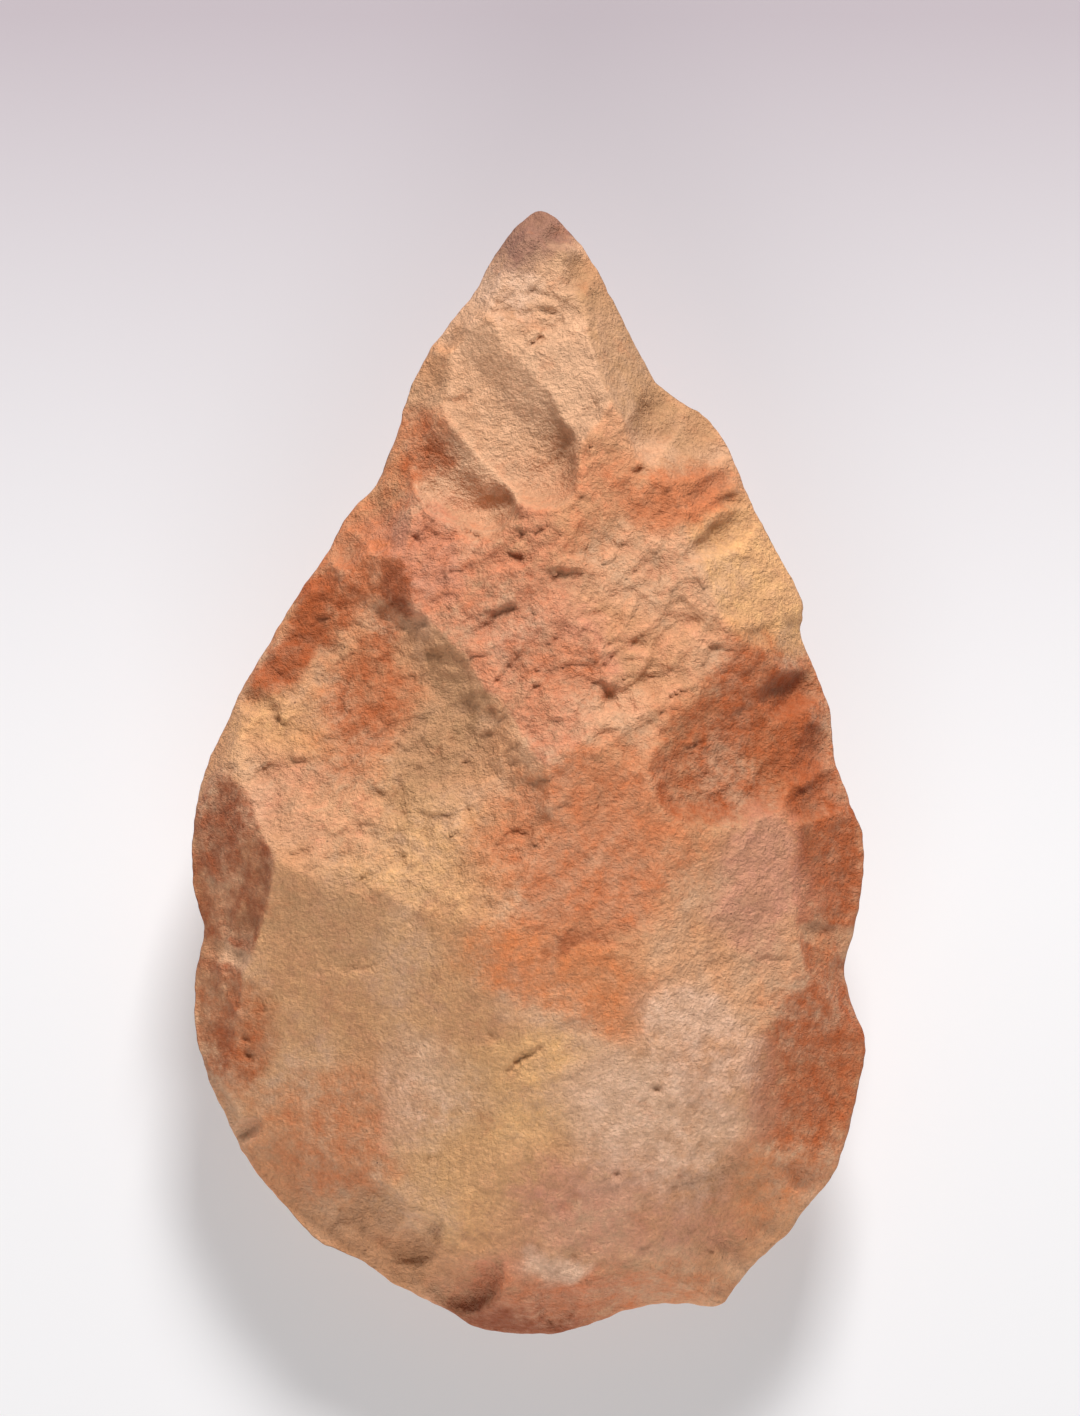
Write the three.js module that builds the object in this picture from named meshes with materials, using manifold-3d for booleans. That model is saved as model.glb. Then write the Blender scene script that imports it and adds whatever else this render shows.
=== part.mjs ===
// A stone hand axe, lying on its plainer back with its tip to +Y and its worked face up, in millimetres.
// A lens of stone is made from the outline of the edge, and each blow that shaped the axe is one shallow
// bowl cut out of it, oldest first, so the ridges stand where the bowls meet.
import * as THREE from "three";
import { mergeVertices } from "three/addons/utils/BufferGeometryUtils.js";
import Module from "manifold-3d";

// Driving dimensions
const EDGE_LEVEL = 20.5; // the edge's mean height over the spot that the stone rests on
const SWAY = 1.1; // how far the edge swings out of its plane
const SWAY_RADIUS = 45; // reached at this distance from the middle
const EDGE_LIP = 0.4; // half the thickness of the worn edge
const EDGE_SLOPE = 60; // degrees, how steeply the worn edge turns into each face
const LENS_POWER = 2.5; // 2 is a round cross section, more is a fuller one
const LENS_MIDDLE = 0.6; // the long axis runs this far to the right of the middle

// Resolution
const EDGE_STEPS = 132; // points round the edge
const RING_SHARES = [0.3, 0.52, 0.7, 0.84, 0.93, 0.975, 1]; // rings from the middle out to the edge
const BOWL_SIDES = 26;
const BOWL_SHARES = [0.25, 0.42, 0.52, 0.62, 0.72, 0.84, 1]; // rings of a bowl, as shares of its reach
const BOWL_DEPTH = 30; // every bowl is carried up until its wall is this high
const BOWL_LID = 60; // and is closed at this height over the edge's plane
const SLIVER = 0.03; // facets thinner than this are merged away

// The edge seen from above, clockwise from the tip. Each bay and point is where a flake came off.
const EDGE_POINTS = [
  [1.2, 75], [3.4, 74.2], [5.9, 71.6], [8.1, 68.6], [10.2, 64.9], [12.6, 60.2], [14.6, 56.2],
  [17.2, 52], [20, 49.9], [23.8, 47.2], [26, 44.4], [27.8, 40.4], [29.4, 36.6], [32.2, 31],
  [34.9, 26.2], [36.6, 22.4], [36.2, 19], [38.2, 13.6], [40.1, 8.6], [40.6, 3], [42.8, -3.8],
  [44.5, -8.6], [44.4, -14.2], [43.4, -20.6], [42, -25.2], [43.2, -31.4], [44.9, -35.8],
  [43.9, -41.8], [42.3, -48.6], [40.6, -53.2], [37, -57.6], [34.2, -61.4], [30.9, -64.4],
  [28, -67.8], [25.3, -70.9], [20, -70.7], [13.2, -71.5], [8, -73.5], [3.4, -74.8], [-1.8, -74.8],
  [-6.8, -74.1], [-12, -71.2], [-18.6, -67.8], [-22.8, -64.8], [-28.4, -62.2], [-32.4, -58],
  [-37, -52.6], [-40.4, -46.2], [-43.4, -39.2], [-44.7, -33], [-44.5, -26.6], [-43.5, -21.4],
  [-44.8, -14.6], [-44.7, -5.4], [-42.8, 1.8], [-40.2, 7.2], [-38.2, 11.8], [-34.6, 17.8],
  [-30.2, 25], [-26.8, 29.8], [-24.6, 34.2], [-20.8, 38.4], [-18.6, 43.2], [-16.8, 48.6],
  [-14.9, 53.8], [-10.8, 60], [-7.8, 63.6], [-4.4, 69.6], [-1.2, 73.6],
];

// The lens: the height of its crest over the edge, and its half width, each against Y.
const CREST = [
  [-80, 0.5], [-76, 3.2], [-70, 8], [-60, 13.2], [-45, 17.8], [-30, 20], [-10, 21], [5, 21.2],
  [15, 20.6], [30, 18.4], [45, 14.6], [60, 9.6], [70, 6.4], [76, 4.6], [80, 3],
];
const HALF_WIDTH = [
  [-80, 8], [-76, 20], [-70, 29], [-60, 37], [-45, 43.5], [-30, 46], [-10, 47], [5, 45],
  [20, 39], [35, 31], [50, 22], [62, 14], [70, 9], [76, 6], [80, 4],
];

// One flake scar: its middle, the angle it runs along, its half length and half width, the height of its
// floor over the edge, the direction its floor falls towards and by how many degrees, how much it has
// risen at its rim, and how sharply it rises there. Angles are in degrees from +X.
function flake(name, at, size) {
  return { name, at, rise: 0.8, sharp: 2, ...size };
}

const FACE_FLAKES = [
  flake("lower left", [-27, -36], { along: 72, half: [25, 17], floor: 9.3, falls: -155, by: 22, rise: 0.3 }),
  flake("right flank", [30, -15], { along: 85, half: [17, 11], floor: 11.6, falls: -3, by: 27 }),
  flake("middle", [9, -9], { along: 30, half: [17, 12], floor: 18.6, falls: 17, by: 6, sharp: 2.5 }),
  flake("left", [-18, -1], { along: -38, half: [30, 17], floor: 11.6, falls: 151, by: 23, rise: 1.3, sharp: 3 }),
  flake("high left", [-5, 20], { along: -50, half: [21, 13], floor: 13.5, falls: 128, by: 15 }),
  flake("high right", [13, 24], { along: -70, half: [21, 13], floor: 12.9, falls: 48, by: 15 }),
  flake("right shoulder", [29, 32], { along: -62, half: [15, 8], floor: 3.6, falls: 25, by: 39, rise: 1 }),
  flake("left shoulder", [-25, 24], { along: 58, half: [14, 9], floor: 5, falls: 168, by: 31, rise: 1.2 }),
  flake("right", [29, 8], { along: 35, half: [15, 9.5], floor: 9.4, falls: -15, by: 28, rise: 1.2, sharp: 2.5 }),
  flake("tip face", [2, 54], { along: -72, half: [10, 7.5], floor: 6.8, falls: 126, by: 11, rise: 1, sharp: 3 }),
  flake("tip right", [14, 55], { along: -60, half: [15, 6], floor: 2.8, falls: 32, by: 47, rise: 1 }),
  flake("tip crown", [1, 67], { along: 90, half: [9, 9], floor: 4, falls: 109, by: 7, rise: 0.6, sharp: 3 }),
  flake("upper trough", [-4, 49], { along: -58, half: [13, 5.2], floor: 6.1, falls: 158, by: 21, rise: 2.2 }),
  flake("lower trough", [-10, 42], { along: -50, half: [11, 5], floor: 5.8, falls: 151, by: 25, rise: 2 }),
  flake("tip left", [-13, 54], { along: 62, half: [8, 3.6], floor: 1.7, falls: 176, by: 35, rise: 1 }),
  flake("neck left", [-18, 41], { along: 60, half: [9, 3.6], floor: 1.6, falls: 149, by: 36, rise: 1 }),
  flake("right side", [40, -12], { along: 85, half: [13, 5], floor: 3.7, falls: -2, by: 43, rise: 1 }),
  flake("low right side", [38, -38], { along: 75, half: [14, 8], floor: 4.8, falls: -13, by: 36, rise: 1 }),
  flake("butt right", [31, -58], { along: 45, half: [14, 8], floor: 3.9, falls: -43, by: 37 }),
  flake("butt left", [-26, -61], { along: -42, half: [15, 6.5], floor: 0.9, falls: -128, by: 40, rise: 0.5 }),
  flake("left side", [-42, -26], { along: 90, half: [14, 4], floor: 2.7, falls: -171, by: 44, rise: 1 }),
  flake("left notch", [-40.5, -9], { along: 75, half: [7, 5], floor: 4, falls: 160, by: 41, rise: 1.2, sharp: 2.5 }),
];

// The back is worked with fewer and broader blows. Its heights are depths below the edge.
const BACK_FLAKES = [
  flake("left", [-27, 2], { along: 80, half: [24, 14], floor: 11.8, falls: 165, by: 35, rise: 0.6 }),
  flake("right", [28, -4], { along: 95, half: [26, 14], floor: 11.6, falls: 8, by: 35, rise: 0.6 }),
  flake("upper left", [-13, 38], { along: 62, half: [19, 11], floor: 6.8, falls: 155, by: 34 }),
  flake("upper right", [14, 40], { along: 112, half: [18, 11], floor: 8.4, falls: 32, by: 33 }),
  flake("tip", [0, 62], { along: 85, half: [13, 8], floor: 4.6, falls: 85, by: 13, rise: 0.7, sharp: 2.5 }),
  flake("low left", [-31, -27], { along: 100, half: [17, 12], floor: 10.4, falls: -171, by: 36 }),
  flake("low right", [32, -31], { along: 78, half: [17, 12], floor: 9.6, falls: -7, by: 36 }),
  flake("butt left", [-20, -55], { along: -48, half: [17, 10], floor: 8.4, falls: -128, by: 36 }),
  flake("butt right", [20, -56], { along: 50, half: [17, 10], floor: 8.2, falls: -52, by: 33 }),
  flake("butt", [0, -65], { along: 0, half: [12, 8], floor: 6.4, falls: -92, by: 25, rise: 0.7 }),
  flake("left nick", [-36, 12], { along: 70, half: [8, 4], floor: 2.1, falls: 171, by: 35 }),
  flake("right nick", [34, 20], { along: 105, half: [8, 4], floor: 2.4, falls: 14, by: 41 }),
  flake("low nick", [-41, -38], { along: 108, half: [8, 4], floor: 2.3, falls: -159, by: 35 }),
  flake("butt nick", [38, -54], { along: 55, half: [8, 4], floor: 1.9, falls: -24, by: 31 }),
];

const { cos, sin, tan, PI, hypot } = Math;
const { clamp, degToRad } = THREE.MathUtils;

const wasm = await Module();
wasm.setup();

// The edge as a closed curve, and as the points that the lens is built on.
const edgeCurve = new THREE.CatmullRomCurve3(EDGE_POINTS.map(([x, y]) => new THREE.Vector3(x, y, 0)), true);
const edge = Array.from({ length: EDGE_STEPS }, (_, i) => edgeCurve.getPoint(1 - i / EDGE_STEPS));

// A smooth curve through stations of [y, value].
function follow(stations, y) {
  const last = stations.length - 1;
  const i = clamp(stations.findIndex(([at]) => at > y) - 1, 0, last - 1);
  const slope = (k) => {
    const [before, after] = [stations[Math.max(k - 1, 0)], stations[Math.min(k + 1, last)]];
    return (after[1] - before[1]) / (after[0] - before[0]);
  };
  const [[y0, v0], [y1, v1]] = [stations[i], stations[i + 1]];
  const span = y1 - y0;
  const t = clamp((y - y0) / span, 0, 1);
  const ease = t * t * (3 - 2 * t);
  const leave = t * (1 - t) ** 2 * span * slope(i);
  const arrive = t * t * (t - 1) * span * slope(i + 1);
  return v0 + (v1 - v0) * ease + leave + arrive;
}

function edgeDistance(x, y) {
  let nearest = Infinity;
  edge.forEach((a, i) => {
    const b = edge[(i + 1) % EDGE_STEPS];
    const [dx, dy] = [b.x - a.x, b.y - a.y];
    const t = clamp(((x - a.x) * dx + (y - a.y) * dy) / (dx * dx + dy * dy), 0, 1);
    nearest = Math.min(nearest, hypot(x - a.x - t * dx, y - a.y - t * dy));
  });
  return nearest;
}

// The edge isn't quite level: both faces swing up and down together as it goes round.
function sway(x, y) {
  const turn = Math.atan2(x, y);
  const share = Math.min(hypot(x, y) / SWAY_RADIUS, 1) ** 2;
  return SWAY * share * (sin(3 * turn + 0.6) + 0.65 * sin(7 * turn + 1.9) + 0.35 * sin(13 * turn));
}

// Height of the unworked lens over the edge, on either face.
function lensHeight(x, y) {
  const across = Math.min(Math.abs(x - LENS_MIDDLE) / follow(HALF_WIDTH, y), 1);
  return follow(CREST, y) * (1 - across ** LENS_POWER);
}

// Height of a point of one face: 1 is the worked face, which is up, and -1 the back.
function faceHeight(x, y, side) {
  const turnIn = EDGE_LIP + edgeDistance(x, y) * tan(degToRad(EDGE_SLOPE));
  const height = Math.min(Math.max(lensHeight(x, y), EDGE_LIP), turnIn);
  return EDGE_LEVEL + side * height + sway(x, y);
}

function solidOf(geometry) {
  geometry.deleteAttribute("normal");
  geometry.deleteAttribute("uv");
  const merged = mergeVertices(geometry, 1e-4);
  const vertProperties = new Float32Array(merged.attributes.position.array);
  const triVerts = new Uint32Array(merged.index.array);
  return new wasm.Manifold(new wasm.Mesh({ numProp: 3, vertProperties, triVerts }));
}

// The lens is a sphere whose rings are laid from the middle of one face, over the edge, to the other's.
function lens() {
  const shares = [0, ...RING_SHARES, ...RING_SHARES.toReversed(), 0];
  const ball = new THREE.SphereGeometry(1, EDGE_STEPS, shares.length - 1);
  const place = ball.attributes.position;
  shares.forEach((share, ring) => {
    const side = ring < shares.length / 2 ? 1 : -1;
    for (let step = 0; step <= EDGE_STEPS; step++) {
      const { x, y } = edge[step % EDGE_STEPS];
      place.setXYZ(ring * (EDGE_STEPS + 1) + step, share * x, share * y, faceHeight(share * x, share * y, side));
    }
  });
  return solidOf(ball);
}

// The stone that one blow takes off: a bowl on a tilted floor, closed by a lid far above.
function flakeTool({ at: [cx, cy], along, half, floor, falls, by, rise, sharp }, side) {
  const reach = (BOWL_DEPTH / rise) ** (0.5 / sharp);
  const wall = [0, ...BOWL_SHARES].map((share) => {
    const radius = share * reach;
    return new THREE.Vector2(radius, rise * radius ** (2 * sharp));
  });
  const lid = [new THREE.Vector2(reach, BOWL_LID), new THREE.Vector2(0, BOWL_LID)];
  const bowl = new THREE.LatheGeometry([...wall, ...lid], BOWL_SIDES);
  const place = bowl.attributes.position;
  const [turn, fall] = [degToRad(along), degToRad(falls)];
  for (let i = 0; i < place.count; i++) {
    const u = place.getX(i) * half[0];
    const v = -side * place.getZ(i) * half[1];
    const dx = u * cos(turn) - v * sin(turn);
    const dy = u * sin(turn) + v * cos(turn);
    const tilt = tan(degToRad(by)) * (dx * cos(fall) + dy * sin(fall));
    const isLid = place.getY(i) >= BOWL_LID;
    const height = isLid ? BOWL_LID : floor - tilt + place.getY(i);
    place.setXYZ(i, cx + dx, cy + dy, EDGE_LEVEL + side * height + sway(cx + dx, cy + dy));
  }
  return solidOf(bowl);
}

// Everything below the resting spot is cut away, which leaves the small flat that the stone lies on.
function restingCut() {
  const block = new THREE.BoxGeometry(200, 200, 50);
  block.translate(0, 0, -25);
  return solidOf(block);
}

function handAxe() {
  let stone = lens();
  for (const scar of FACE_FLAKES) stone = stone.subtract(flakeTool(scar, 1));
  for (const scar of BACK_FLAKES) stone = stone.subtract(flakeTool(scar, -1));
  stone = stone.subtract(restingCut()).simplify(SLIVER);
  const { vertProperties, triVerts } = stone.getMesh();
  const geometry = new THREE.BufferGeometry();
  geometry.setAttribute("position", new THREE.BufferAttribute(vertProperties, 3));
  geometry.setIndex(new THREE.BufferAttribute(triVerts, 1));
  geometry.computeVertexNormals();
  const quartzite = new THREE.MeshStandardMaterial({ color: 0xb08f72, roughness: 0.85, metalness: 0 });
  const mesh = new THREE.Mesh(geometry, quartzite);
  mesh.name = "hand_axe";
  return mesh;
}

const group = new THREE.Group();
group.add(handAxe());
export default group;
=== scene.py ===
import math

import bpy
import numpy as np
from bpy.props import FloatProperty, FloatVectorProperty, IntProperty, PointerProperty
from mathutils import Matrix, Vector
from mathutils.geometry import delaunay_2d_cdt
from mathutils.kdtree import KDTree


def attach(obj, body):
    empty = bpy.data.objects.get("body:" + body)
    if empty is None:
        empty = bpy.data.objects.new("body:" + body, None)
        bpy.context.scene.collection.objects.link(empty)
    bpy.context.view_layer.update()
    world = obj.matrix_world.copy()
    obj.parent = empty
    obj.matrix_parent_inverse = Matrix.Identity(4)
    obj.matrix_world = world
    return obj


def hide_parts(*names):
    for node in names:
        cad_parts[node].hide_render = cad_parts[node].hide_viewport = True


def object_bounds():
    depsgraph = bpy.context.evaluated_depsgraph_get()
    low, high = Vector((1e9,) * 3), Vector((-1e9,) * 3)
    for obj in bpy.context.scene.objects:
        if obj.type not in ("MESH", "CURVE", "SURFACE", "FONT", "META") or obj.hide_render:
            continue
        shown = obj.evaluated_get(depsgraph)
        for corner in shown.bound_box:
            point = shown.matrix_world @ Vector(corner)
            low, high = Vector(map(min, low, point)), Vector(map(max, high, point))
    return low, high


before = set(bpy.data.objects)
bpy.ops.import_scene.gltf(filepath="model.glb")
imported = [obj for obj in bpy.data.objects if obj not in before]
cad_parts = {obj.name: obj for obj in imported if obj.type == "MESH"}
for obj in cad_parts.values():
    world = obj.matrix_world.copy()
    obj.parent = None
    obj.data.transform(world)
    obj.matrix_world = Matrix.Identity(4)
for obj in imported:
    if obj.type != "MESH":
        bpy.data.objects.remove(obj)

bl_info = {
    "name": "Stone Hand Axe",
    "version": (1, 0, 0),
    "blender": (4, 5, 0),
    "location": "View3D > Sidebar > Hand Axe",
    "description": "Builds a flaked and weathered stone hand axe lying on its back",
    "category": "Add Mesh",
}

CAD_LOW, CAD_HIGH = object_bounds()
MM = 0.001
MOST_TRIANGLES = 200_000

# The stone's plan and its flake scars, in millimetres: X to the right, Y to the tip, and heights
# over the plane of the edge. The plan and most scars are the solid's own. Some scars on the face
# are cut deeper here and have walls, for the finer relief.

EDGE_LEVEL = 20.5
EDGE_LIP = 0.4
EDGE_SLOPE = 60
SWAY = 1.1
SWAY_RADIUS = 45
LENS_POWER = 2.5
LENS_MIDDLE = 0.6
WALL_FOOT = 0.5      # rounding where a scar's wall begins
BASE_GRAIN = 0.35    # grain of what no flake has reached
SEAM_INSET = 0.2     # how far inside the edge the two faces begin
SEAM_STEP = 0.12     # spacing of the points that insets are measured from
RIM_FADE = 2.5       # the broken surface fades out over this width at the edge
RIM_WEAR = 0.3       # rounding between the rim and the face
THINNEST = 0.05      # least height of a face over the edge
CHIP_CRISPNESS = 40  # the higher, the sharper the breaks between the chips' facets
NICKS = 110          # fine nicks round the edge
BAY_REACH = 9        # a bay of the outline is seen against its mean over this length each way,
BAY_WINDOW = 4       # is the deepest place within this length each way,
BAY_DEPTH = 0.12     # and is at least this deep

EDGE_POINTS = [
    (1.2, 75), (3.4, 74.2), (5.9, 71.6), (8.1, 68.6), (10.2, 64.9), (12.6, 60.2), (14.6, 56.2),
    (17.2, 52), (20, 49.9), (23.8, 47.2), (26, 44.4), (27.8, 40.4), (29.4, 36.6), (32.2, 31),
    (34.9, 26.2), (36.6, 22.4), (36.2, 19), (38.2, 13.6), (40.1, 8.6), (40.6, 3), (42.8, -3.8),
    (44.5, -8.6), (44.4, -14.2), (43.4, -20.6), (42, -25.2), (43.2, -31.4), (44.9, -35.8),
    (43.9, -41.8), (42.3, -48.6), (40.6, -53.2), (37, -57.6), (34.2, -61.4), (30.9, -64.4),
    (28, -67.8), (25.3, -70.9), (20, -70.7), (13.2, -71.5), (8, -73.5), (3.4, -74.8), (-1.8, -74.8),
    (-6.8, -74.1), (-12, -71.2), (-18.6, -67.8), (-22.8, -64.8), (-28.4, -62.2), (-32.4, -58),
    (-37, -52.6), (-40.4, -46.2), (-43.4, -39.2), (-44.7, -33), (-44.5, -26.6), (-43.5, -21.4),
    (-44.8, -14.6), (-44.7, -5.4), (-42.8, 1.8), (-40.2, 7.2), (-38.2, 11.8), (-34.6, 17.8),
    (-30.2, 25), (-26.8, 29.8), (-24.6, 34.2), (-20.8, 38.4), (-18.6, 43.2), (-16.8, 48.6),
    (-14.9, 53.8), (-10.8, 60), (-7.8, 63.6), (-4.4, 69.6), (-1.2, 73.6),
]
CREST = [
    (-80, 0.5), (-76, 3.2), (-70, 8), (-60, 13.2), (-45, 17.8), (-30, 20), (-10, 21), (5, 21.2),
    (15, 20.6), (30, 18.4), (45, 14.6), (60, 9.6), (70, 6.4), (76, 4.6), (80, 3),
]
HALF_WIDTH = [
    (-80, 8), (-76, 20), (-70, 29), (-60, 37), (-45, 43.5), (-30, 46), (-10, 47), (5, 45),
    (20, 39), (35, 31), (50, 22), (62, 14), (70, 9), (76, 6), (80, 4),
]


def flake(at, along, half, floor, falls, by, rise=0.8, sharp=2, wear=0.35, grain=0.2, walls=()):
    """One flake scar. Angles are in degrees from +X, wear rounds its rims and grain roughens it.

    A wall is (x, y, faces, steep): beyond that point, away from where it faces, the floor climbs.
    """
    return dict(at=at, along=along, half=half, floor=floor, falls=falls, by=by, rise=rise,
                sharp=sharp, wear=wear, grain=grain, walls=walls)


FACE_FLAKES = {
    "lower left": flake((-27, -36), 72, (25, 17), 9.3, -155, 22, rise=0.3, wear=1.5, grain=0.2),
    "right flank": flake((30, -15), 85, (17, 11), 11.6, -3, 27, wear=2.5, grain=0.35),
    "middle": flake((9, -9), 30, (17, 12), 18.6, 17, 6, sharp=2.5, wear=1, grain=0.5),
    "left": flake((-18, -1), -38, (30, 17), 11, 133, 22, rise=1, sharp=3, grain=0.75,
                  walls=((-11, 9.5, -140, 30),)),
    "high left": flake((-5, 20), -50, (21, 13), 13.5, 128, 15, grain=1),
    "high right": flake((13, 24), -70, (21, 13), 12.9, 48, 15, wear=1.5, grain=0.9),
    "right shoulder": flake((29, 32), -62, (15, 8), 3.6, 25, 39, rise=1, wear=0.8, grain=0.35),
    "left shoulder": flake((-25, 24), 58, (14, 9), 4.8, 165, 26, rise=0.4, sharp=4, grain=0.35,
                           walls=((-19.5, 21.5, -155, 22),)),
    "right": flake((30.5, 8), 35, (14, 9.5), 8.8, -12, 28, rise=1, sharp=2.5, wear=0.9, grain=0.45),
    "tip face": flake((2, 54), -72, (10, 7.5), 6.8, 126, 11, rise=1, sharp=3, grain=0.5),
    "tip right": flake((14, 55), -60, (15, 6), 2.8, 32, 47, rise=1, grain=0.15),
    "tip crown": flake((1, 67), 90, (9, 9), 4, 109, 7, rise=0.6, sharp=3, grain=0.8),
    "upper trough": flake((-4, 49), -58, (12, 6.2), 4.1, 90, 8, rise=0.4, sharp=5, grain=0.2,
                          walls=((-3.4, 49.8, -140, 31),)),
    "lower trough": flake((-10, 41.5), -50, (8.5, 5), 2.7, 90, 7, rise=0.4, sharp=5, grain=0.3,
                          walls=((-11, 40.5, -140, 38),)),
    "tip left": flake((-13, 54), 62, (8, 3.6), 1.7, 176, 35, rise=1, grain=0.3),
    "neck left": flake((-18, 41), 60, (9, 3.6), 1.6, 149, 36, rise=1, grain=0.4),
    "right side": flake((40, -12), 85, (13, 5), 3.7, -2, 43, rise=1, grain=0.3),
    "low right side": flake((38, -38), 75, (14, 8), 4.8, -13, 36, rise=1, wear=1, grain=0.15),
    "butt right": flake((31, -58), 45, (14, 8), 3.9, -43, 37, wear=2, grain=0.15),
    "butt left": flake((-26, -61), -42, (15, 6.5), 0.9, -128, 40, rise=0.5, wear=3, grain=0.2),
    "left side": flake((-42, -26), 90, (14, 4), 2.7, -171, 44, rise=1, grain=0.3),
    "left notch": flake((-40, -11), 84, (14, 5.6), 4.2, 185, 42, rise=0.7, sharp=3, wear=0.4,
                        grain=0.3),
}
BACK_FLAKES = {
    "left": flake((-27, 2), 80, (24, 14), 11.8, 165, 35, rise=0.6, wear=1.5, grain=0.2),
    "right": flake((28, -4), 95, (26, 14), 11.6, 8, 35, rise=0.6, wear=1.5, grain=0.2),
    "upper left": flake((-13, 38), 62, (19, 11), 6.8, 155, 34, grain=0.3),
    "upper right": flake((14, 40), 112, (18, 11), 8.4, 32, 33, grain=0.5),
    "tip": flake((0, 62), 85, (13, 8), 4.6, 85, 13, rise=0.7, sharp=2.5, grain=0.4),
    "low left": flake((-31, -27), 100, (17, 12), 10.4, -171, 36, grain=0.25),
    "low right": flake((32, -31), 78, (17, 12), 9.6, -7, 36, grain=0.2),
    "butt left": flake((-20, -55), -48, (17, 10), 8.4, -128, 36, wear=1, grain=0.2),
    "butt right": flake((20, -56), 50, (17, 10), 8.2, -52, 33, wear=1, grain=0.2),
    "butt": flake((0, -65), 0, (12, 8), 6.4, -92, 25, rise=0.7, wear=1, grain=0.3),
    "left nick": flake((-36, 12), 70, (8, 4), 2.1, 171, 35, grain=0.3),
    "right nick": flake((34, 20), 105, (8, 4), 2.4, 14, 41, grain=0.3),
    "low nick": flake((-41, -38), 108, (8, 4), 2.3, -159, 35, grain=0.3),
    "butt nick": flake((38, -54), 55, (8, 4), 1.9, -24, 31, grain=0.3),
}

# Patina, with painted shade and a painted highlight in some of its stains. Stains lie over each other in
# this order. A scar takes a stain as a whole, with a strength;
# a patch is x, y, half length, half width, angle in degrees, strength.
STAIN_ORDER = ("tan", "sand", "ochre", "olive", "pink", "rust", "orange", "deep_rust", "red_brown",
               "lilac", "ash", "mauve")
STAIN_EDGE = 0.45      # softness of a patch's border, as a share of its size
STAIN_SIZE = 13        # size of the bends in that border, in mm
STAIN_STRAY = 3.2      # and how far they stray
FACE_SCAR_STAINS = {
    "tan": {"butt left": 0.6, "butt right": 0.5, "left": 0.3, "right flank": 0.4},
    "sand": {"tip face": 0.8, "upper trough": 0.7, "lower trough": 0.7, "tip left": 0.5},
    "ochre": {"right shoulder": 0.6, "high right": 0.3, "lower left": 0.25},
    # Olive on the tip's right scar is painted shade, darkening a plane turned from the light.
    "olive": {"tip right": 0.6, "lower left": 0.25, "tip left": 0.3, "left side": 0.4},
    "pink": {"high left": 0.5, "high right": 0.3},
    "rust": {"left shoulder": 0.8, "middle": 0.75, "neck left": 0.5, "right side": 0.5,
             "high left": 0.3, "left side": 0.4},
    # Deep rust here is partly painted shade: it darkens the right scar and steep scars along the right and
    # left edges, turned away from the light.
    "deep_rust": {"right": 0.6, "right side": 0.5, "low right side": 0.6, "left notch": 0.4,
                  "left shoulder": 0.15},
    # Red brown on the left notch is partly painted shade on the bulb, which faces away from the light.
    "red_brown": {"left notch": 0.4, "left side": 0.2},
}
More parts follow.
